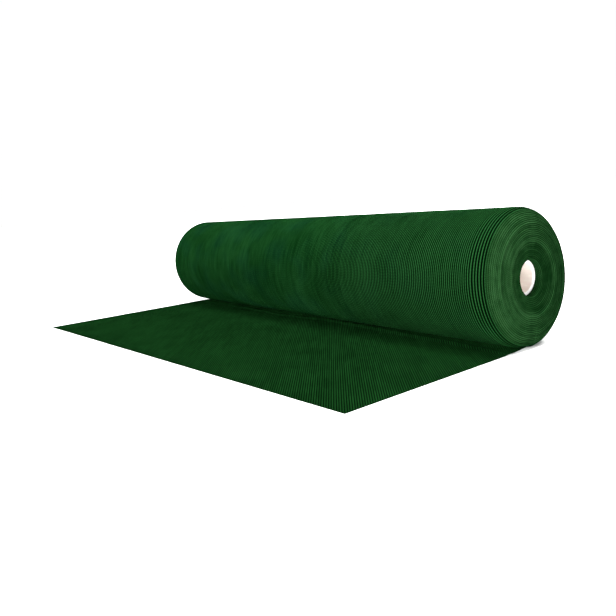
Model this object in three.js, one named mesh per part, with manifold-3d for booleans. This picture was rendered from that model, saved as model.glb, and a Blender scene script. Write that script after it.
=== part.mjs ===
// Rolled shade cloth: knitted green net wound on a cardboard tube, its loose end drawn out flat.
// Millimetres, +Z up. X runs along the roll, and the loose end lies on the -Y side.
// The origin is on the floor, in the middle of the part's outline.
import * as THREE from 'three';
import { mergeVertices } from 'three/addons/utils/BufferGeometryUtils.js';
import Module from 'manifold-3d';

// The cloth
const CLOTH_WIDTH = 1000;
const CLOTH_THICKNESS = 2;
const CLOTH_COLOUR = 0x1b4d22;
const HALF_WIDTH = CLOTH_WIDTH / 2;

// The loose end, measured from under the roll's axis to its cut front edge, which runs askew
const FAR_REACH = 446;
const NEAR_REACH = 392;
const FAR_CORNER_INSET = 12;
const UNDER_ROLL = 12;
// Where it leaves the roll its edges are still drawn in
const DRAWN_IN = 10;
const DRAWN_IN_FADE = 30;
// A low ruck runs along the roll's foot, from the middle to the near side
const RUCK_HEIGHT = 3;
const RUCK_Y = -42;
const RUCK_HALF_WIDTH = 19;
const RUCK_START_X = -40;
const RUCK_FULL_X = 200;
const LOOSE_STEPS_ACROSS = 24;
const LOOSE_STEPS_ALONG = 18;

// The wound roll
const ROLL_RADIUS = 111;
const HOLE_RADIUS = 28.8;
const FLAT_SPOT_DEPTH = 1;
const AXIS_HEIGHT = ROLL_RADIUS - FLAT_SPOT_DEPTH;
const TURN_STEPS = 72;
const BODY_STEPS = 12;
const FACE_STEPS = 6;
const SHOULDER_STEPS = 5;
// Its ends are rounded where the outer turns are drawn in
const NEAR_SHOULDER = { along: 18, radial: 14 };
const FAR_SHOULDER = { along: 10, radial: 8 };
// The near end leans: its top lies nearer the far end than its foot does
const NEAR_LEAN = 6.3;
const LEAN_START = 380;
// The turns at the hole are set back, and no two groups of turns end quite level
const DISH_DEPTH = 4;
const DISH_FADE = 12;
const UNEVEN_END = 1;
const UNEVEN_PITCH = 31;
const SWELL = 0.5;
const SWELL_LENGTH = 370;
// Creases that run round the roll where the near shoulder starts
const CREASES = [
  { inFromShoulder: 4, depth: 1.6 },
  { inFromShoulder: 12, depth: 1.2 },
  { inFromShoulder: 21, depth: 0.8 },
];
const CREASE_HALF_WIDTH = 2.5;

// The cardboard tube
const TUBE_RADIUS = 28.5;
const TUBE_WALL = 5;
const TUBE_RECESS = 9.5;
const TUBE_LIP = 0.8;
const TUBE_COLOUR = 0xe8e3d8;

const { lerp, smoothstep } = THREE.MathUtils;

// Moves each point of a geometry and leaves one closed surface of shared points
function reshaped(geometry, place) {
  const point = new THREE.Vector3();
  const positions = geometry.getAttribute('position');
  for (let i = 0; i < positions.count; i += 1) {
    point.fromBufferAttribute(positions, i);
    positions.setXYZ(i, ...place(point));
  }
  geometry.deleteAttribute('normal');
  geometry.deleteAttribute('uv');
  return mergeVertices(geometry);
}

// A body turned about the X axis from a closed run of rings, each with along and radius.
// The turn starts under the axis and goes up the front, over the top and down the back.
function turnedAlongX(rings, shape) {
  const profile = rings.map((ring) => new THREE.Vector2(ring.radius, ring.along));
  const lathe = new THREE.LatheGeometry(profile, TURN_STEPS);
  return reshaped(lathe, (point) => {
    const radius = Math.hypot(point.x, point.z);
    const angle = Math.atan2(point.x, point.z);
    const turn = ((angle / (2 * Math.PI)) + 1) % 1;
    const shaped = shape(point.y, radius, turn);
    const back = -shaped.radius * Math.sin(angle);
    const up = AXIS_HEIGHT - shaped.radius * Math.cos(angle);
    return [shaped.along + shaped.lean * (AXIS_HEIGHT - up), back, Math.max(up, 0)];
  });
}

// A quarter ellipse from the roll's side, at step 0, to its end face, at the last step
function shoulderRings(shoulder, side) {
  const rings = [];
  for (let step = 0; step <= SHOULDER_STEPS; step += 1) {
    const angle = (step / SHOULDER_STEPS) * (Math.PI / 2);
    rings.push({
      along: side * (HALF_WIDTH - shoulder.along * (1 - Math.sin(angle))),
      radius: ROLL_RADIUS - shoulder.radial * (1 - Math.cos(angle)),
    });
  }
  return rings;
}

// Rings of an end face from its shoulder in to the hole
function faceRings(shoulder, side) {
  const rings = [];
  const rim = ROLL_RADIUS - shoulder.radial;
  for (let step = 1; step <= FACE_STEPS; step += 1) {
    const radius = lerp(rim, HOLE_RADIUS, step / FACE_STEPS);
    const dish = DISH_DEPTH * Math.exp(-(radius - HOLE_RADIUS) / DISH_FADE);
    const uneven = UNEVEN_END * Math.sin((2 * Math.PI * radius) / UNEVEN_PITCH);
    rings.push({ along: side * (HALF_WIDTH - dish + uneven), radius });
  }
  return rings;
}

// Rings of the creased stretch next to the near shoulder, from the outermost crease in
function creaseRings() {
  const shoulderStart = HALF_WIDTH - NEAR_SHOULDER.along;
  return CREASES.flatMap(({ inFromShoulder, depth }) => {
    const along = shoulderStart - inFromShoulder;
    return [
      { along: along + CREASE_HALF_WIDTH, radius: ROLL_RADIUS },
      { along, radius: ROLL_RADIUS - depth },
      { along: along - CREASE_HALF_WIDTH, radius: ROLL_RADIUS },
    ];
  });
}

// Rings of the roll's plain side, between the creases and the far shoulder
function bodyRings() {
  const start = creaseRings().at(-1).along;
  const end = FAR_SHOULDER.along - HALF_WIDTH;
  const rings = [];
  for (let step = 1; step < BODY_STEPS; step += 1) {
    rings.push({ along: lerp(start, end, step / BODY_STEPS), radius: ROLL_RADIUS });
  }
  return rings;
}

// All turns of the roll as one body, its outermost turn a spiral one cloth thickness deep
function woundTurns() {
  const nearFace = faceRings(NEAR_SHOULDER, 1).reverse();
  const farFace = faceRings(FAR_SHOULDER, -1);
  const rings = [
    ...nearFace,
    ...shoulderRings(NEAR_SHOULDER, 1).reverse(),
    ...creaseRings(),
    ...bodyRings(),
    ...shoulderRings(FAR_SHOULDER, -1),
    ...farFace,
    nearFace[0],
  ];
  return turnedAlongX(rings, (along, radius, turn) => {
    const outerness = (radius - HOLE_RADIUS) / (ROLL_RADIUS - HOLE_RADIUS);
    const spiral = CLOTH_THICKNESS * (1 - turn) * outerness;
    const swell = SWELL * Math.sin((2 * Math.PI * along) / SWELL_LENGTH) * outerness;
    const lean = (NEAR_LEAN / ROLL_RADIUS) * smoothstep(along, LEAN_START, HALF_WIDTH);
    return { along, radius: radius - spiral + swell, lean };
  });
}

// How far the ruck lifts the loose end off the floor
function ruckLift(x, y) {
  const across = Math.abs(y - RUCK_Y) / RUCK_HALF_WIDTH;
  if (across >= 1) return 0;
  const crest = Math.cos((across * Math.PI) / 2) ** 2;
  return RUCK_HEIGHT * crest * smoothstep(x, RUCK_START_X, RUCK_FULL_X);
}

// The outer turn where it runs out from under the roll and lies on the floor
function looseEnd() {
  const slab = new THREE.BoxGeometry(1, 1, 1, LOOSE_STEPS_ACROSS, LOOSE_STEPS_ALONG, 1);
  return reshaped(slab, (point) => {
    const across = point.x + 0.5;
    const fromRoll = (0.5 - point.y) ** 2;
    const reach = lerp(FAR_REACH, NEAR_REACH, across);
    const y = UNDER_ROLL - (reach + UNDER_ROLL) * fromRoll;
    const drawn = DRAWN_IN * Math.exp(Math.min(y, 0) / DRAWN_IN_FADE);
    const farEdge = -HALF_WIDTH + drawn + FAR_CORNER_INSET * fromRoll;
    const x = lerp(farEdge, HALF_WIDTH - drawn, across);
    return [x, y, CLOTH_THICKNESS * (point.z + 0.5) + ruckLift(x, y)];
  });
}

// The cardboard tube, set back a little in the roll's hole
function coreTube() {
  const end = HALF_WIDTH - TUBE_RECESS;
  const inner = TUBE_RADIUS - TUBE_WALL;
  const rings = [
    { along: end - TUBE_LIP, radius: inner },
    { along: end, radius: inner + TUBE_LIP },
    { along: end, radius: TUBE_RADIUS - TUBE_LIP },
    { along: end - TUBE_LIP, radius: TUBE_RADIUS },
    { along: TUBE_LIP - end, radius: TUBE_RADIUS },
    { along: -end, radius: TUBE_RADIUS - TUBE_LIP },
    { along: -end, radius: inner + TUBE_LIP },
    { along: TUBE_LIP - end, radius: inner },
  ];
  rings.push(rings[0]);
  return turnedAlongX(rings, (along, radius) => ({ along, radius, lean: 0 }));
}

// One closed surface from two that run into each other
async function joined(first, second) {
  const wasm = await Module();
  wasm.setup();
  const solid = (geometry) => new wasm.Manifold(new wasm.Mesh({
    numProp: 3,
    vertProperties: geometry.getAttribute('position').array,
    triVerts: Uint32Array.from(geometry.getIndex().array),
  }));
  const { vertProperties, triVerts } = solid(first).add(solid(second)).getMesh();
  const geometry = new THREE.BufferGeometry();
  geometry.setAttribute('position', new THREE.BufferAttribute(vertProperties, 3));
  geometry.setIndex(new THREE.BufferAttribute(triVerts, 1));
  return geometry;
}

const clothMaterial = new THREE.MeshStandardMaterial({
  color: CLOTH_COLOUR, roughness: 0.7, metalness: 0,
});
const tubeMaterial = new THREE.MeshStandardMaterial({
  color: TUBE_COLOUR, roughness: 0.85, metalness: 0,
});

const shadeCloth = new THREE.Mesh(await joined(woundTurns(), looseEnd()), clothMaterial);
shadeCloth.name = 'shade_cloth';

const tube = new THREE.Mesh(coreTube(), tubeMaterial);
tube.name = 'core_tube';

const group = new THREE.Group();
group.add(shadeCloth, tube);
const outline = new THREE.Box3().setFromObject(group);
const middle = outline.getCenter(new THREE.Vector3());
group.position.set(-middle.x, -middle.y, -outline.min.z);

export default group;
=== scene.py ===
"""A roll of knitted green shade cloth on a paper tube, its loose end drawn out flat in front.

Lengths are metres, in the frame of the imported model: X runs along the roll, +Z is up, and the
loose end lies on the -Y side. Roll coordinates are along, which is measured from the middle of
the roll, radius, which is measured from the roll's axis, and turn, which goes from 0 under the
axis up the front, over the top and down the back to 1.
"""

import bmesh
import bpy
import numpy as np
from mathutils import Matrix, Vector


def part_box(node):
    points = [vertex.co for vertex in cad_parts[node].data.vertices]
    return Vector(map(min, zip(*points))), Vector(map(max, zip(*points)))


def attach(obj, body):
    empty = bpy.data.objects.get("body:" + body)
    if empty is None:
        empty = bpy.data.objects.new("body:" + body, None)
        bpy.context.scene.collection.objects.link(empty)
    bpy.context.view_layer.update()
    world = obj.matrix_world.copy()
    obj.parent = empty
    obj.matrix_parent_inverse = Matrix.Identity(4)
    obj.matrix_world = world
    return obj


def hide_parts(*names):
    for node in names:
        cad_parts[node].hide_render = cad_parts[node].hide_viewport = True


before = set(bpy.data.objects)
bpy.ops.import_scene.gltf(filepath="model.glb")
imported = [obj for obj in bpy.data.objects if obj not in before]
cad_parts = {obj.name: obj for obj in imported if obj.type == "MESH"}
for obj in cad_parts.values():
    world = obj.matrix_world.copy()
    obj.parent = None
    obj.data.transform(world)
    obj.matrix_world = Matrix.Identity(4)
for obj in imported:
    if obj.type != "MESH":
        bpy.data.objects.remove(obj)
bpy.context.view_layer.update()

MM = 0.001
TAU = 2 * np.pi
random = np.random.default_rng(7)

# Places from the frame
tube_low, tube_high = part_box("core_tube")
AXIS = (Vector(tube_low) + Vector(tube_high)) / 2

# The cloth
HALF_WIDTH = 500 * MM
WALES = 256
WALE_PITCH = 2 * HALF_WIDTH / WALES
COURSE_PITCH = 4.9 * MM
CLOTH_THICKNESS = 1.0 * MM
RIB_HEIGHT = 0.6 * MM
STEPS_PER_WALE = 4
# Slanted tapes on the net's back: how many cross one wale, and their pitch along the cloth
TAPE_SLANT = 0.77
TAPE_PITCH = 4.3 * MM

# The wound roll
ROLL_RADIUS = 110.6 * MM
TURN_STEPS = 90
# The outer turn is a spiral, and the turns under it grow into its form
SPIRAL_STEP = 2 * MM
SPIRAL_FADE = (60 * MM, 105 * MM)
HOLE_RADIUS = 28.9 * MM
NEAR_LEAN = 6.3 * MM
LEAN_START = 380 * MM
# The turns are wound a little tighter towards the far end
FAR_TIGHTER = 3.0 * MM
# Each end face rises from the hole to a crown, with a small step just before it, and falls from
# there to the roll's side as a superellipse, which is fuller than an ellipse
NEAR_END = {"side": 1, "crown_radius": 60 * MM, "crown": 507 * MM, "hole": 502 * MM,
            "step": 1.8 * MM, "shoulder": 482 * MM, "outer_turn_from": 107 * MM}
FAR_END = {"side": -1, "crown_radius": 80 * MM, "crown": 512 * MM, "hole": 502 * MM,
           "step": 0.5 * MM, "shoulder": 498 * MM, "outer_turn_from": 106 * MM}
FULLNESS = (2.5, 2.4)
STEP_WIDTH = 4 * MM
# Creases round the roll at the near shoulder: distance from where the shoulder starts towards
# the end face, depth and half width
CREASES = (
    (-18.2 * MM, 0.5 * MM, 1.2 * MM),
    (-13.5 * MM, 0.9 * MM, 1.1 * MM),
    (-8.2 * MM, 1.7 * MM, 1.0 * MM),
    (-3.0 * MM, 1.9 * MM, 1.1 * MM),
    (2.0 * MM, 1.9 * MM, 1.0 * MM),
    (7.0 * MM, 1.8 * MM, 1.0 * MM),
)
CREASED_LENGTH = 40 * MM
DEEPEST_CREASE = max(depth for _, depth, _ in CREASES)
CREASE_DRIFT = 0.25 * MM
CREASE_STRENGTH_SPREAD = 0.25
CREASE_STRENGTH_LIMITS = (0.3, 1.3)
# How unevenly the outer turn lies: the number of knots along the roll, and their size
UNEVEN = ((160, 0.05 * MM), (40, 0.10 * MM))
# The net is drawn open towards the near end, and lies closer along the rest of the roll
OPEN_FROM, OPEN_FULLY = -20 * MM, 300 * MM
CLOSE_RIBS = 0.4
PROFILE_POINTS = 60

# The turns that show in the end faces
END_PITCH = 3.0 * MM
END_STEPS_ROUND = 240
END_STEPS_PER_TURN = 6
END_RIDGE = 1.1 * MM
# How round a ridge's crest is, and the share of its height that stands for the level face
RIDGE_ROUNDNESS = 0.7
RIDGE_LEVEL = 0.8
# How far single turns and groups of turns stand out from the rest
TURN_SPREAD = 0.28 * MM
TURN_KNOTS = 9
GROUP_SPREAD = 0.35 * MM
# The ridges fade in at the hole's rim and out again where the outer turn covers them
RIDGES_FROM_RIM = (-1 * MM, 3 * MM)
RIDGES_TO_COVER = (5 * MM, 7 * MM)
END_BACK = 12 * MM
RIM_ROUNDING = 1.5 * MM
# The end faces lie a little under the outer turn: their last ring dives in along the roll and
# towards its axis
UNDER_OUTER_TURN = 0.3 * MM
PAST_OUTER_TURN = 0.5 * MM
DIVE = (2 * MM, 6 * MM)
STITCH_PITCH = 3.1 * MM

# The loose end
FAR_REACH = 446 * MM
NEAR_REACH = 392 * MM
FAR_CORNER_INSET = 3 * MM
UNDER_ROLL = 12 * MM
DRAWN_IN = 10 * MM
DRAWN_IN_FADE = 30 * MM
LOOSE_ROWS_FRONT = 44
LOOSE_ROWS_BACK = 18
ROWS_CLOSER = 4.0
FLOOR_GAP = 0.2 * MM
# Rows of the underside: those that are skipped where the cloth lies flat, and by the ruck
FLAT_ROWS_SKIP, RUCK_ROWS_SKIP, RUCK_ROWS = 4, 2, 12
SWAY = 0.15 * MM
SWAY_KNOTS = 24
# A low ruck runs along the roll's foot: places along the roll, how far in front of the axis the
# ruck lies there, and its height
RUCK_ALONG = np.array([-500, -334, -231, -102, -16, 47, 222, 308, 381, 432, 466, 500]) * MM
RUCK_Y = np.array([-40, -42, -47, -56, -47, -38, -48, -54, -54, -60, -60, -62]) * MM
RUCK_HEIGHT = np.array([0.2, 1.4, 2.2, 2.6, 2.8, 3.4, 4.6, 5.0, 4.8, 4.4, 3.4, 1.0]) * MM
# How far it reaches in front of and behind its line, and how peaked it is
RUCK_FRONT = 3.5 * MM
RUCK_BACK = 20 * MM
RUCK_PEAK = 1.3
# Short folds next to the near corner: start, end and height
FOLDS = (
    ((440 * MM, -38 * MM), (480 * MM, -17 * MM), 3.0 * MM),
    ((462 * MM, -46 * MM), (494 * MM, -33 * MM), 3.0 * MM),
)
FOLD_HALF_WIDTH = 2.6 * MM

# The tube
TUBE_RADIUS = 28.5 * MM
TUBE_WALL = 5 * MM
TUBE_RECESS = 9.5 * MM
TUBE_LIP = 1.2 * MM
TUBE_STEPS_ROUND = 96

# The camera, as seen from the roll's middle, at floor level under its axis
CAMERA_PLACE = Vector((1.0458, -0.8522, 0.2570))
CAMERA_YAW = -0.9179
CAMERA_PITCH = 0.1734
CAMERA_ROLL = -0.0775
PICTURE_SIDE = 616
FOCAL_PIXELS = 624.4
SENSOR_WIDTH = 36

# The studio: a white band of light all round, and wide suns by azimuth and elevation in degrees,
# and strength
FLOOR_HALF_SIDE = 30
BAND_TOP = np.radians(24)
CEILING_FROM = np.radians(40)
BAND_STRENGTH = 1.01
SUN_ANGLE = np.radians(20)
SUNS = (
    ("front_low", -84, 17, 5.0),
    ("front_high", -80, 70, 2.0),
    ("side", 0, 45, 0.7),
    ("overhead", 0, 90, 5.2),
    ("back", 90, 45, 4.6),
)


# Helpers for numbers

def smooth(value, low, high):
    """0 below low, 1 above high, and an even slope between them."""
    share = np.clip((value - low) / (high - low), 0, 1)
    return share * share * (3 - 2 * share)


def wander(length, knots, size, wraps=False):
    """A smooth random run of that many samples, between knots of random height."""
    heights = random.normal(0, size, knots)
    if wraps:
        heights[-1] = heights[0]
    place = np.linspace(0, knots - 1, length)
    low = np.clip(place.astype(int), 0, knots - 2)
    share = place - low
    share = share * share * (3 - 2 * share)
    return heights[low] * (1 - share) + heights[low + 1] * share


# Helpers for meshes

def to_frame(along, radius, turn):
    """Points of the roll in the model's frame, none of them below the floor."""
    outerness = np.clip((radius - HOLE_RADIUS) / (ROLL_RADIUS - HOLE_RADIUS), 0, 1)
    tighter = FAR_TIGHTER * outerness * (HALF_WIDTH - along) / (2 * HALF_WIDTH)
    angle = turn * TAU
    y = -(radius - tighter) * np.sin(angle)
    up = AXIS.z - tighter - (radius - tighter) * np.cos(angle)
    lean = NEAR_LEAN / ROLL_RADIUS * smooth(along, LEAN_START, HALF_WIDTH)
    x = along + lean * (AXIS.z - up)
    return np.stack([AXIS.x + x, AXIS.y + y, np.maximum(up, 0.1 * MM)], axis=-1)


def mesh_object(name, points, faces, uv=None, smooth_faces=True):
    """A mesh object from arrays of points, faces and, for each point, a place on the cloth."""
    mesh = bpy.data.meshes.new(name)
    mesh.from_pydata(points.reshape(-1, 3).tolist(), [], faces)
    if uv is not None:
        layer = mesh.uv_layers.new(name="cloth")
        corners = np.empty(len(mesh.loops), dtype=np.int32)
        mesh.loops.foreach_get("vertex_index", corners)
        layer.data.foreach_set("uv", uv.reshape(-1, 2)[corners].ravel())
    mesh.polygons.foreach_set("use_smooth", [smooth_faces] * len(mesh.polygons))
    mesh.update()
    piece = bpy.data.objects.new(name, mesh)
    bpy.context.scene.collection.objects.link(piece)
    return piece


def grid_faces(rows, columns, wrap_rows=False, wrap_columns=False):
    """Quads over a grid of points that is stored row by row."""
    row = np.arange(rows if wrap_rows else rows - 1)
    column = np.arange(columns if wrap_columns else columns - 1)
    r, c = np.meshgrid(row, column, indexing="ij")
    r2, c2 = (r + 1) % rows, (c + 1) % columns
    quads = np.stack([r * columns + c, r * columns + c2, r2 * columns + c2, r2 * columns + c], -1)
    return quads.reshape(-1, 4).tolist()


def face_outward(piece):
    """Turns every face of a closed mesh to point out."""
    work = bmesh.new()
    work.from_mesh(piece.data)
    bmesh.ops.recalc_face_normals(work, faces=work.faces)
    work.to_mesh(piece.data)
    work.free()


def finish_piece(piece, material, slot, *nodes):
    """Gives a piece its material and its place in the frame."""
    piece.data.materials.append(material)
    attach(piece, "root")
    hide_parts(*nodes)


# The camera

def add_camera():
    """The camera at the viewing angle, with the fitted focal length."""
    yaw, pitch, roll = CAMERA_YAW, CAMERA_PITCH, CAMERA_ROLL
    look = Vector((np.sin(yaw) * np.cos(pitch), np.cos(yaw) * np.cos(pitch), -np.sin(pitch)))
    right = Vector((np.cos(yaw), -np.sin(yaw), 0))
    up = right.cross(look)
    turned_right = np.cos(roll) * right + np.sin(roll) * up
    turned_up = -np.sin(roll) * right + np.cos(roll) * up
    camera = bpy.data.objects.new("camera", bpy.data.cameras.new("camera"))
    camera.data.sensor_width = SENSOR_WIDTH
    camera.data.lens = SENSOR_WIDTH * FOCAL_PIXELS / PICTURE_SIDE
    place = Vector((AXIS.x, AXIS.y, 0)) + CAMERA_PLACE
    turn = Matrix((turned_right, turned_up, -look)).transposed()
    camera.matrix_world = Matrix.Translation(place) @ turn.to_4x4()
    bpy.context.scene.collection.objects.link(camera)
    bpy.context.scene.camera = camera


# The pieces

def face_along(end, radius):
    """How far along the roll an end face lies at a radius, without its side's sign."""
    crown_radius, crown = end["crown_radius"], end["crown"]
    rise = crown - end["hole"] - end["step"]
    inner = end["hole"] + rise * smooth(radius, HOLE_RADIUS, crown_radius)
    inner = inner + end["step"] * smooth(radius, crown_radius - STEP_WIDTH, crown_radius)
    share = np.clip((radius - crown_radius) / (ROLL_RADIUS - crown_radius), 0, 1)
    fall = 1 - (1 - share ** FULLNESS[0]) ** (1 / FULLNESS[1])
    return np.where(radius < crown_radius, inner, crown - (crown - end["shoulder"]) * fall)


def edge_radii(first, last, count):
    """Radii of an end face that lie closer and closer together towards the roll's side."""
    share = np.linspace(0, 1, count)
    return first + (last - first) * np.sin(share * TAU / 4)


def run_length(x, r):
    """The distance along a profile up to each of its points."""
    return np.concatenate([[0], np.cumsum(np.hypot(np.diff(x), np.diff(r)))])


def even_profile(x, r, place):
    """Points of a profile at given distances along it, with their outward directions."""
    length = run_length(x, r)
    x, r = np.interp(place, length, x), np.interp(place, length, r)
    slope_x, slope_r = np.gradient(x, place), np.gradient(r, place)
    size = np.hypot(slope_x, slope_r)
    return x, r, slope_r / size, -slope_x / size


def wale_numbers(place, shoulder, length):
    """The number of wales up to each place, with each crease in the gap between two wales."""
    knots = shoulder - np.array([towards_face for towards_face, _, _ in CREASES])[::-1]
    numbers = np.arange(1, len(knots) + 1)
    first = 1 - knots[0] / WALE_PITCH
    last = numbers[-1] + (length - knots[-1]) / WALE_PITCH
    return np.interp(place, np.r_[0, knots, length], np.r_[first, numbers, last])


def outer_turn(material):
    """The roll's outer turn: a ribbed sleeve that is creased and drawn in at the near end."""
    near_r = edge_radii(NEAR_END["outer_turn_from"], ROLL_RADIUS, PROFILE_POINTS)
    far_r = edge_radii(FAR_END["outer_turn_from"], ROLL_RADIUS, PROFILE_POINTS)[::-1]
    x = np.concatenate([face_along(NEAR_END, near_r), -face_along(FAR_END, far_r)])
    r = np.concatenate([near_r, far_r])
    length = run_length(x, r)
    shoulder = length[len(near_r) - 1]
    step = WALE_PITCH / STEPS_PER_WALE
    place = np.concatenate([
        np.arange(0, CREASED_LENGTH, step / 2),
        np.arange(CREASED_LENGTH, length[-1], step),
    ])
    x, r, out_x, out_r = even_profile(x, r, place)
    turn = np.arange(TURN_STEPS + 1) / TURN_STEPS
    wale = wale_numbers(place, shoulder, length[-1])
    rib = RIB_HEIGHT * (0.5 - 0.5 * np.cos(TAU * wale))
    rib = rib * (CLOSE_RIBS + (1 - CLOSE_RIBS) * smooth(x, OPEN_FROM, OPEN_FULLY))
    uneven = sum(wander(len(place), knots, size) for knots, size in UNEVEN)
    lift = np.repeat((rib + uneven)[:, None], len(turn), axis=1)
    # How deep each point lies in a crease: the material paints shade there by this measure
    gap = np.zeros_like(lift)
    for towards_face, depth, half_width in CREASES:
        drift = wander(len(turn), 16, CREASE_DRIFT, wraps=True)
        strength = 1 + wander(len(turn), 14, CREASE_STRENGTH_SPREAD, wraps=True)
        strength = np.clip(strength, *CREASE_STRENGTH_LIMITS)
        away = (place[:, None] - (shoulder - towards_face) - drift[None, :]) / half_width
        pinch = strength[None, :] * np.exp(-away ** 2)
        lift -= depth * pinch
        gap = np.maximum(gap, depth / DEEPEST_CREASE * pinch)
    along = x[:, None] + out_x[:, None] * lift
    radius = r[:, None] + out_r[:, None] * lift - SPIRAL_STEP * (1 - turn[None, :])
    # The inside of the sleeve, one cloth thickness in
    rows = np.concatenate([
        to_frame(along, radius, turn[None, :]),
        to_frame(along[-1:], radius[-1:] - CLOTH_THICKNESS, turn[None, :]),
        to_frame(along[:1], radius[:1] - CLOTH_THICKNESS, turn[None, :]),
    ])
    uv = np.empty(rows.shape[:2] + (2,))
    uv[..., 0] = np.concatenate([wale, wale[-1:], wale[:1]])[:, None]
    uv[..., 1] = (turn * TAU * ROLL_RADIUS / COURSE_PITCH)[None, :]
    faces = grid_faces(rows.shape[0], rows.shape[1], wrap_rows=True)
    piece = mesh_object("outer_turn", rows, faces, uv)
    # The material paints shade into the creases by this measure of their depth
    crease_shade_depth = piece.data.attributes.new("crease", "FLOAT", "POINT")
    crease_shade_depth.data.foreach_set("value", np.concatenate([gap, gap[-1:], gap[:1]]).ravel())
    face_outward(piece)
    finish_piece(piece, material, "cloth", "shade_cloth")
    return piece


def end_profile(end):
    """The hole's wall, its rounded rim and the end face, with the rim's place along them."""
    wall_x = np.linspace(end["shoulder"] - END_BACK, end["hole"] - RIM_ROUNDING, 8)[:-1]
    rim = np.linspace(0, TAU / 4, 6)
    rim_x = end["hole"] - RIM_ROUNDING * (1 - np.sin(rim))
    rim_r = HOLE_RADIUS + RIM_ROUNDING * (1 - np.cos(rim))
    face_r = edge_radii(rim_r[-1], end["outer_turn_from"] + PAST_OUTER_TURN, 200)[1:]
    face_x = face_along(end, face_r)
    under_x, under_r = face_x[-1] - DIVE[0], face_r[-1] - DIVE[1]
    x = np.concatenate([wall_x, rim_x, face_x, [under_x]]) - UNDER_OUTER_TURN
    r = np.concatenate([np.full(len(wall_x), HOLE_RADIUS), rim_r, face_r, [under_r]])
    return x, r, run_length(x, r)[len(wall_x)]


def end_turns(name, end, material):
    """The edges of the turns in an end face: ridges side by side, uneven as wound."""
    x, r, rim = end_profile(end)
    length = run_length(x, r)[-1]
    rings = int(length / END_PITCH * END_STEPS_PER_TURN) + 1
    turns = rings // END_STEPS_PER_TURN
    place = np.linspace(0, length, rings)
    x, r, out_x, out_r = even_profile(x, r, place)
    share = np.arange(END_STEPS_ROUND) / END_STEPS_ROUND
    # Height of the ridge, and how far each turn and each group of turns stands out
    phase = (np.arange(rings) % END_STEPS_PER_TURN) / END_STEPS_PER_TURN
    crest = np.sin(phase * TAU / 2) ** RIDGE_ROUNDNESS
    group = wander(rings, max(4, turns // 2), GROUP_SPREAD)
    on_face = smooth(place - rim, *RIDGES_FROM_RIM) * smooth(length - place, *RIDGES_TO_COVER)
    turn_index = np.arange(rings) // END_STEPS_PER_TURN
    own = [wander(END_STEPS_ROUND + 1, TURN_KNOTS, TURN_SPREAD, wraps=True) for _ in range(turns + 1)]
    own = np.stack(own)[turn_index][:, :-1]
    lift = (END_RIDGE * (crest - RIDGE_LEVEL) + group)[:, None] + own * crest[:, None]
    lift = lift * on_face[:, None]
    along = end["side"] * (x[:, None] + out_x[:, None] * lift)
    radius = r[:, None] + out_r[:, None] * lift
    radius = radius - SPIRAL_STEP * smooth(r, *SPIRAL_FADE)[:, None] * (1 - share[None, :])
    points = to_frame(along, radius, share[None, :])
    # Along the cloth's edge, each turn goes on where the one inside it ends
    around = np.cumsum(np.interp(np.arange(turns + 1), turn_index, r)) * TAU
    stitch = (around[turn_index][:, None] + r[:, None] * TAU * share[None, :]) / STITCH_PITCH
    uv = np.stack(np.broadcast_arrays(((place - rim) / END_PITCH)[:, None], stitch), -1)
    faces = grid_faces(rings, END_STEPS_ROUND, wrap_columns=True)
    piece = mesh_object(name, points, faces, uv)
    close_back(piece, end)
    finish_piece(piece, material, "cloth", "shade_cloth")
    return piece


def close_back(piece, end):
    """Gives an end face a back, so that it is one closed body."""
    work = bmesh.new()
    work.from_mesh(piece.data)
    edges = [edge for edge in work.edges if edge.is_boundary]
    made = bmesh.ops.extrude_edge_only(work, edges=edges)["geom"]
    points = [item for item in made if isinstance(item, bmesh.types.BMVert)]
    for point in points:
        point.co.x = AXIS.x + end["side"] * (end["shoulder"] - END_BACK)
    back = [edge for edge in work.edges if edge.is_boundary]
    bmesh.ops.bridge_loops(work, edges=back)
    bmesh.ops.recalc_face_normals(work, faces=work.faces)
    work.to_mesh(piece.data)
    work.free()


def ruck_lift(x, y):
    """How far the ruck along the roll's foot lifts the loose end: steep in front, gentle behind."""
    behind = y - np.interp(x, RUCK_ALONG, RUCK_Y)
    height = np.interp(x, RUCK_ALONG, RUCK_HEIGHT)
    reach = np.where(behind < 0, RUCK_FRONT, RUCK_BACK)
    return height * (1 - smooth(np.abs(behind), 0, reach)) ** RUCK_PEAK


def fold_lift(x, y):
    """How far the short folds at the near corner lift the loose end."""
    lift = np.zeros_like(x)
    for start, end, height in FOLDS:
        run_x, run_y = end[0] - start[0], end[1] - start[1]
        share = ((x - start[0]) * run_x + (y - start[1]) * run_y) / (run_x ** 2 + run_y ** 2)
        share = np.clip(share, 0, 1)
        away = np.hypot(x - start[0] - share * run_x, y - start[1] - share * run_y)
        lift += height * np.sin(0.3 + 2.5 * share) * np.exp(-(away / FOLD_HALF_WIDTH) ** 2)
    return lift


def loose_rows(across):
    """Rows of points over the loose end, from its cut edge to under the roll."""
    x = (2 * across - 1) * HALF_WIDTH
    ruck = np.interp(x, RUCK_ALONG, RUCK_Y)
    front = -(FAR_REACH + (NEAR_REACH - FAR_REACH) * across)
    share = np.sinh(ROWS_CLOSER * np.linspace(1, 0, LOOSE_ROWS_FRONT)) / np.sinh(ROWS_CLOSER)
    back_share = np.linspace(0, 1, LOOSE_ROWS_BACK + 1)[1:]
    front_rows = ruck + (front - ruck) * share[:, None]
    back_rows = ruck + (UNDER_ROLL - ruck) * back_share[:, None]
    return np.concatenate([front_rows, back_rows])


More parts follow.
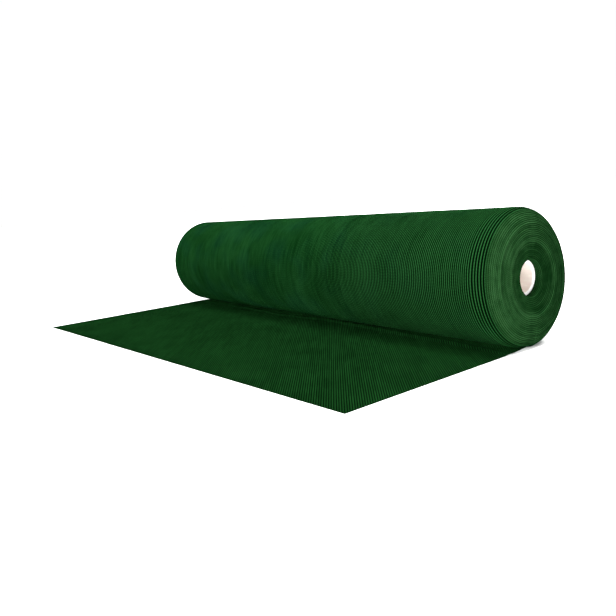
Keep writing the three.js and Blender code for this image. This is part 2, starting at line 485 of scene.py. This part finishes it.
def loose_end(material):
    """The cloth's loose end, ribbed along its length, flat on the floor."""
    columns = WALES * STEPS_PER_WALE + 1
    across = np.linspace(0, 1, columns)[None, :]
    y = loose_rows(across)
    from_roll = (UNDER_ROLL - y) / (UNDER_ROLL - y[0])
    drawn = DRAWN_IN * np.exp(np.minimum(y, 0) / DRAWN_IN_FADE)
    far_edge = -HALF_WIDTH + drawn + FAR_CORNER_INSET * from_roll
    x = far_edge + (HALF_WIDTH - drawn - far_edge) * across
    wale = across * WALES + 0 * y
    rib = RIB_HEIGHT * (0.5 - 0.5 * np.cos(TAU * wale))
    sway = np.abs(wander(columns, SWAY_KNOTS, SWAY))[None, :] * smooth(from_roll, 0, 0.3)
    bottom_z = FLOOR_GAP + ruck_lift(x, y) + fold_lift(x, y) + sway
    top_z = bottom_z + CLOTH_THICKNESS - RIB_HEIGHT + rib
    top = np.stack([AXIS.x + x, AXIS.y + y, top_z], -1)
    bottom = np.stack([AXIS.x + x, AXIS.y + y, bottom_z], -1)
    # The underside has fewer rows
    by_ruck = LOOSE_ROWS_FRONT - RUCK_ROWS
    kept = np.r_[0:by_ruck:FLAT_ROWS_SKIP, by_ruck:len(y) - 1:RUCK_ROWS_SKIP, len(y) - 1]
    points = np.concatenate([top, bottom[kept][::-1]])
    uv_top = np.stack([wale, -y / TAPE_PITCH], -1)
    uv = np.concatenate([uv_top, uv_top[kept][::-1]])
    rows = points.shape[0]
    faces = grid_faces(rows, columns, wrap_rows=True)
    # The two selvedges close the sheet's sides
    for column in (0, columns - 1):
        faces.append([row * columns + column for row in range(rows)])
    piece = mesh_object("loose_end", points, faces, uv)
    face_outward(piece)
    finish_piece(piece, material, "cloth", "shade_cloth")
    return piece


def paper_tube(material):
    """The tube that the cloth is wound on, with softened lips."""
    end = HALF_WIDTH - TUBE_RECESS
    inner = TUBE_RADIUS - TUBE_WALL
    rounding = np.linspace(0, TAU / 4, 5)
    lip_x = end - TUBE_LIP * (1 - np.sin(rounding))
    lip_r = TUBE_LIP * (1 - np.cos(rounding))
    near_x = np.concatenate([lip_x, lip_x[::-1]])
    near_r = np.concatenate([inner + lip_r, TUBE_RADIUS - lip_r[::-1]])
    x = np.concatenate([near_x, -near_x[::-1]])[:, None]
    r = np.concatenate([near_r, near_r[::-1]])[:, None]
    angle = np.arange(TUBE_STEPS_ROUND)[None, :] / TUBE_STEPS_ROUND * TAU
    y, z = AXIS.y - r * np.sin(angle), AXIS.z - r * np.cos(angle)
    points = np.stack(np.broadcast_arrays(AXIS.x + x, y, z), -1)
    faces = grid_faces(len(x), TUBE_STEPS_ROUND, wrap_rows=True, wrap_columns=True)
    piece = mesh_object("paper_tube", points, faces)
    face_outward(piece)
    finish_piece(piece, material, "tube", "core_tube")
    return piece


# Materials

class Shader:
    """Short calls for making a material's nodes and joining them."""

    def __init__(self, name):
        self.material = bpy.data.materials.new(name)
        self.material.use_nodes = True
        self.tree = self.material.node_tree
        self.bsdf = self.tree.nodes["Principled BSDF"]

    def put(self, socket, value):
        """Joins an output to a socket, or sets the socket to a plain value."""
        if isinstance(value, bpy.types.NodeSocket):
            self.tree.links.new(value, socket)
        else:
            socket.default_value = value

    def node(self, kind, inputs=None, **settings):
        """A new node with its inputs joined or set."""
        node = self.tree.nodes.new(kind)
        for key, value in settings.items():
            setattr(node, key, value)
        for key, value in (inputs or {}).items():
            self.put(node.inputs[key], value)
        return node

    def math(self, operation, *values):
        """The result of one sum."""
        node = self.node("ShaderNodeMath", operation=operation)
        for socket, value in zip(node.inputs, values):
            self.put(socket, value)
        return node.outputs[0]

    def ramp(self, value, low, high):
        """0 below low, 1 above high, and an even slope between them."""
        node = self.node("ShaderNodeMapRange", {"Value": value, "From Min": low, "From Max": high},
                         interpolation_type="SMOOTHSTEP")
        return node.outputs["Result"]

    def vary(self, tone, share, extra, least):
        """A tone times a factor that goes from least to least + extra as the share goes to 1."""
        return self.math("MULTIPLY", tone, self.math("MULTIPLY_ADD", share, extra, least))

    def mix(self, share, first, second):
        """The first colour where the share is 0, and the second where it is 1."""
        node = self.node("ShaderNodeMix", data_type="RGBA")
        self.put(node.inputs[0], share)
        self.put(node.inputs[6], first)
        self.put(node.inputs[7], second)
        return node.outputs[2]

    def noise(self, vector, scale, detail=2.0):
        """Soft random patches, near a half on average."""
        node = self.node("ShaderNodeTexNoise", {"Vector": vector, "Scale": scale, "Detail": detail})
        return node.outputs["Fac"]

    def set(self, **values):
        """Joins or sets inputs of the surface."""
        for key, value in values.items():
            self.put(self.bsdf.inputs[key.replace("_", " ")], value)


# The net's face, its back, and its edges in the end faces
# Painted shade for the deep parts of the creases
CREASE_SHADE = (0.0001, 0.0018, 0.0003, 1)
DARK_GREEN = (0.0001, 0.0016, 0.0002, 1)
MID_GREEN = (0.0010, 0.0135, 0.0020, 1)
TEAL_GREEN = (0.0010, 0.0135, 0.0040, 1)
LIGHT_GREEN = (0.0110, 0.0580, 0.0150, 1)
BACK_DARK = (0.0001, 0.0022, 0.0003, 1)
BACK_LIGHT = (0.0046, 0.0285, 0.0062, 1)
EDGE_DARK = (0.0002, 0.0045, 0.0006, 1)
EDGE_MID = (0.0020, 0.0172, 0.0031, 1)
EDGE_LIGHT = (0.0180, 0.0610, 0.0190, 1)
# The tube's board
BOARD_CREAM = (0.86, 0.78, 0.72, 1)
BOARD_STAIN = (0.80, 0.69, 0.63, 1)
BOARD_STREAK = (0.92, 0.88, 0.80, 1)
BOARD_LIP = (0.95, 0.94, 0.92, 1)
BOARD_FIBRE = (0.93, 0.92, 0.89, 1)


class ClothShader(Shader):
    """Patterns that the cloth's materials share."""

    def __init__(self, name):
        super().__init__(name)
        place = self.node("ShaderNodeUVMap", uv_map="cloth").outputs["UV"]
        split = self.node("ShaderNodeSeparateXYZ", {"Vector": place})
        self.u, self.v = split.outputs["X"], split.outputs["Y"]
        self.object_place = self.node("ShaderNodeTexCoord").outputs["Object"]

    def place(self, x, y, z=0.0):
        """A place made of two or three numbers."""
        return self.node("ShaderNodeCombineXYZ", {"X": x, "Y": y, "Z": z}).outputs[0]

    def chance(self, x, y):
        """A random number that stays the same for the same x and y."""
        inputs = {"Vector": self.place(x, y)}
        node = self.node("ShaderNodeTexWhiteNoise", inputs, noise_dimensions="3D")
        return node.outputs["Value"]

    def wave(self, value):
        """A wave from 0 to 1, highest where the value is a half."""
        turned = self.math("MULTIPLY", value, TAU)
        return self.math("MULTIPLY_ADD", self.math("COSINE", turned), -0.5, 0.5)

    def matte(self, roughness):
        """Finishes a cloth that scatters light evenly and has no mirror glint."""
        self.bsdf.inputs["Roughness"].default_value = roughness
        self.bsdf.inputs["Diffuse Roughness"].default_value = 1.0
        self.bsdf.inputs["Specular IOR Level"].default_value = 0.0


def knit_material():
    """The net's face: a chain of light stitches on each wale, with dark gaps between."""
    s = ClothShader("knit_face")
    across = s.math("ABSOLUTE", s.math("SUBTRACT", s.math("FRACT", s.u), 0.5))
    chain = s.math("SUBTRACT", 1.0, s.ramp(across, 0.09, 0.30))
    # Where the net lies closer, its gaps are filled in part and its chains are duller
    split = s.node("ShaderNodeSeparateXYZ", {"Vector": s.object_place})
    along = s.math("SUBTRACT", split.outputs["X"], AXIS.x)
    close = s.math("SUBTRACT", 1.0, s.ramp(along, OPEN_FROM, OPEN_FULLY))
    filled = s.math("MULTIPLY", s.math("MULTIPLY", s.math("SUBTRACT", 1.0, chain), close), 0.4)
    chain = s.vary(s.math("ADD", chain, filled), close, -0.30, 1.0)
    # Each wale's stitches lie a little higher or lower than its neighbours'
    wale = s.math("FLOOR", s.u)
    level = s.math("MULTIPLY", s.chance(wale, 7.0), 0.6)
    hook = s.math("ADD", s.math("ADD", s.v, level), s.math("MULTIPLY", across, 1.6))
    hook = s.math("FRACT", hook)
    ends = s.math("SUBTRACT", 1.0, s.ramp(hook, 0.65, 1.0))
    loop = s.math("MULTIPLY", s.ramp(hook, 0.0, 0.3), ends)
    streak = s.noise(s.place(s.math("MULTIPLY", wale, 3.7), s.math("MULTIPLY", s.v, 0.12)), 1.0, 1.0)
    own = s.chance(wale, 3.0)
    gap = s.math("SUBTRACT", 1.0, chain)
    tape = s.wave(s.math("SUBTRACT", s.math("MULTIPLY", s.u, TAPE_SLANT), s.v))
    tone = s.vary(chain, loop, 0.30, 0.70)
    tone = s.vary(tone, s.ramp(streak, 0.25, 0.75), 0.25, 0.90)
    tone = s.vary(tone, own, 0.15, 0.94)
    tone = s.math("MULTIPLY_ADD", s.math("MULTIPLY", tape, gap), 0.05, tone)
    cloud = s.noise(s.object_place, 9.0, 3.0)
    tone = s.vary(tone, s.ramp(cloud, 0.3, 0.7), 0.25, 0.88)
    middle = s.mix(s.ramp(s.noise(s.object_place, 14.0, 2.0), 0.4, 0.7), MID_GREEN, TEAL_GREEN)
    colour = s.mix(s.ramp(tone, 0.0, 0.45), DARK_GREEN, middle)
    colour = s.mix(s.ramp(tone, 0.35, 1.05), colour, LIGHT_GREEN)
    crease = s.node("ShaderNodeAttribute", attribute_name="crease").outputs["Fac"]
    # Painted shade: the deeper a crease, the darker the cloth's colour there
    colour = s.mix(s.ramp(crease, 0.15, 0.8), colour, CREASE_SHADE)
    bump = s.node("ShaderNodeBump", {"Height": tone, "Strength": 0.5, "Distance": 0.5 * MM})
    s.set(Base_Color=colour, Normal=bump.outputs["Normal"])
    s.matte(0.5)
    return s.material


def back_material():
    """The net's back, which the loose end shows: slanted tapes over the chains, darker."""
    s = ClothShader("knit_back")
    slant = s.math("SUBTRACT", s.math("MULTIPLY", s.u, TAPE_SLANT), s.v)
    tape = s.ramp(s.wave(slant), 0.15, 0.95)
    patch = s.noise(s.object_place, 16.0, 3.0)
    own = s.chance(s.math("FLOOR", slant), s.math("FLOOR", s.math("MULTIPLY", s.v, 0.125)))
    chain = s.wave(s.math("FRACT", s.u))
    tone = s.vary(tape, own, 0.35, 0.65)
    tone = s.vary(tone, s.ramp(patch, 0.3, 0.7), 0.3, 0.8)
    tone = s.math("MULTIPLY_ADD", chain, 0.08, tone)
    colour = s.mix(tone, BACK_DARK, BACK_LIGHT)
    bump = s.node("ShaderNodeBump", {"Height": tone, "Strength": 0.4, "Distance": 0.4 * MM})
    s.set(Base_Color=colour, Normal=bump.outputs["Normal"])
    s.matte(0.6)
    return s.material


def edge_material():
    """The cloth's edges in an end face: pale stitched selvedges with dark gaps between them."""
    s = ClothShader("turn_edges")
    across = s.math("ABSOLUTE", s.math("SUBTRACT", s.math("FRACT", s.u), 0.5))
    crest = s.math("SUBTRACT", 1.0, s.ramp(across, 0.2, 0.5))
    turn = s.math("FLOOR", s.u)
    own = s.chance(turn, 5.0)
    streak = s.noise(s.place(s.math("MULTIPLY", turn, 2.3), s.math("MULTIPLY", s.v, 0.06)), 1.0, 1.0)
    patch = s.noise(s.object_place, 60.0, 2.0)
    dash = s.math("MULTIPLY_ADD", s.wave(s.v), 0.55, 0.6)
    tone = s.math("MULTIPLY", s.math("MULTIPLY_ADD", crest, 0.75, 0.15), dash)
    tone = s.vary(tone, own, 0.35, 0.8)
    tone = s.vary(tone, s.ramp(streak, 0.25, 0.75), 0.3, 0.8)
    tone = s.vary(tone, s.ramp(patch, 0.3, 0.7), 0.3, 0.8)
    # Painted shade: the turns near the hole, and the hole's wall, are darker
    drift = s.math("MULTIPLY", s.math("SUBTRACT", s.noise(s.object_place, 18.0, 2.0), 0.5), 8.0)
    outer = s.ramp(s.math("ADD", s.u, drift), 5.0, 10.5)
    tone = s.vary(tone, outer, 0.3, 0.7)
    colour = s.mix(s.ramp(tone, 0.0, 0.4), EDGE_DARK, EDGE_MID)
    colour = s.mix(s.ramp(tone, 0.25, 1.0), colour, EDGE_LIGHT)
    bump = s.node("ShaderNodeBump", {"Height": tone, "Strength": 0.5, "Distance": 0.5 * MM})
    s.set(Base_Color=colour, Normal=bump.outputs["Normal"])
    s.matte(0.55)
    return s.material


def tube_material():
    """White paper board: a pale lip, and a cream wall with faint streaks and specks."""
    s = Shader("paper_board")
    place = s.node("ShaderNodeTexCoord").outputs["Object"]
    split = s.node("ShaderNodeSeparateXYZ", {"Vector": place})
    beside = s.math("ABSOLUTE", s.math("SUBTRACT", split.outputs["X"], AXIS.x))
    lip = s.ramp(beside, HALF_WIDTH - TUBE_RECESS - 3 * MM, HALF_WIDTH - TUBE_RECESS - 1 * MM)
    fibres = s.noise(place, 900.0, 4.0)
    long_way = s.node("ShaderNodeMapping", {"Vector": place, "Scale": (0.15, 1, 1)}).outputs[0]
    streaks = s.noise(long_way, 260.0, 3.0)
    stains = s.noise(place, 25.0, 3.0)
    wall = s.mix(s.ramp(stains, 0.35, 0.75), BOARD_CREAM, BOARD_STAIN)
    wall = s.mix(s.ramp(streaks, 0.45, 0.75), wall, BOARD_STREAK)
    colour = s.mix(lip, wall, BOARD_LIP)
    colour = s.mix(s.math("MULTIPLY", s.ramp(fibres, 0.55, 0.8), 0.4), colour, BOARD_FIBRE)
    bump = s.node("ShaderNodeBump", {"Height": fibres, "Strength": 0.3, "Distance": 0.2 * MM})
    s.set(Base_Color=colour, Roughness=0.85, Normal=bump.outputs["Normal"])
    return s.material


def floor_material():
    """A plain pale floor."""
    s = Shader("floor")
    s.set(Base_Color=(0.9, 0.9, 0.9, 1), Roughness=0.9)
    return s.material


# The studio

def add_soft_sun(name, azimuth, elevation, strength):
    """A wide, distant light from that way round and that high, both in degrees."""
    around, above = np.radians(azimuth), np.radians(elevation)
    towards = Vector((np.cos(around) * np.cos(above), np.sin(around) * np.cos(above), np.sin(above)))
    light = bpy.data.lights.new(name, "SUN")
    light.angle = SUN_ANGLE
    light.energy = strength
    lamp = bpy.data.objects.new(name, light)
    lamp.rotation_mode = "QUATERNION"
    lamp.rotation_quaternion = (-towards).to_track_quat("-Z", "Y")
    bpy.context.scene.collection.objects.link(lamp)


def add_surroundings():
    """A white band of light all round, up to the height where the dark ceiling starts."""
    world = bpy.data.worlds.new("surroundings")
    world.use_nodes = True
    nodes, links = world.node_tree.nodes, world.node_tree.links
    split = nodes.new("ShaderNodeSeparateXYZ")
    links.new(nodes.new("ShaderNodeTexCoord").outputs["Generated"], split.inputs[0])
    fade = nodes.new("ShaderNodeMapRange")
    fade.interpolation_type = "SMOOTHSTEP"
    links.new(split.outputs["Z"], fade.inputs["Value"])
    fade.inputs["From Min"].default_value = np.sin(BAND_TOP)
    fade.inputs["From Max"].default_value = np.sin(CEILING_FROM)
    fade.inputs["To Min"].default_value = BAND_STRENGTH
    fade.inputs["To Max"].default_value = 0
    links.new(fade.outputs["Result"], nodes["Background"].inputs["Strength"])
    nodes["Background"].inputs["Color"].default_value = (1, 1, 1, 1)
    bpy.context.scene.world = world


def add_studio():
    """The floor, the white surroundings and the lights."""
    half = FLOOR_HALF_SIDE
    points = np.array([[-half, -half, 0], [half, -half, 0], [half, half, 0], [-half, half, 0]], float)
    floor = mesh_object("floor", points, [[0, 1, 2, 3]])
    floor.data.materials.append(floor_material())
    add_surroundings()
    for name, azimuth, elevation, strength in SUNS:
        add_soft_sun(name, azimuth, elevation, strength)
    bpy.context.scene.view_settings.view_transform = "Standard"


add_camera()
knit = knit_material()
edges = edge_material()
outer_turn(knit)
end_turns("near_end_turns", NEAR_END, edges)
end_turns("far_end_turns", FAR_END, edges)
loose_end(back_material())
paper_tube(tube_material())
add_studio()
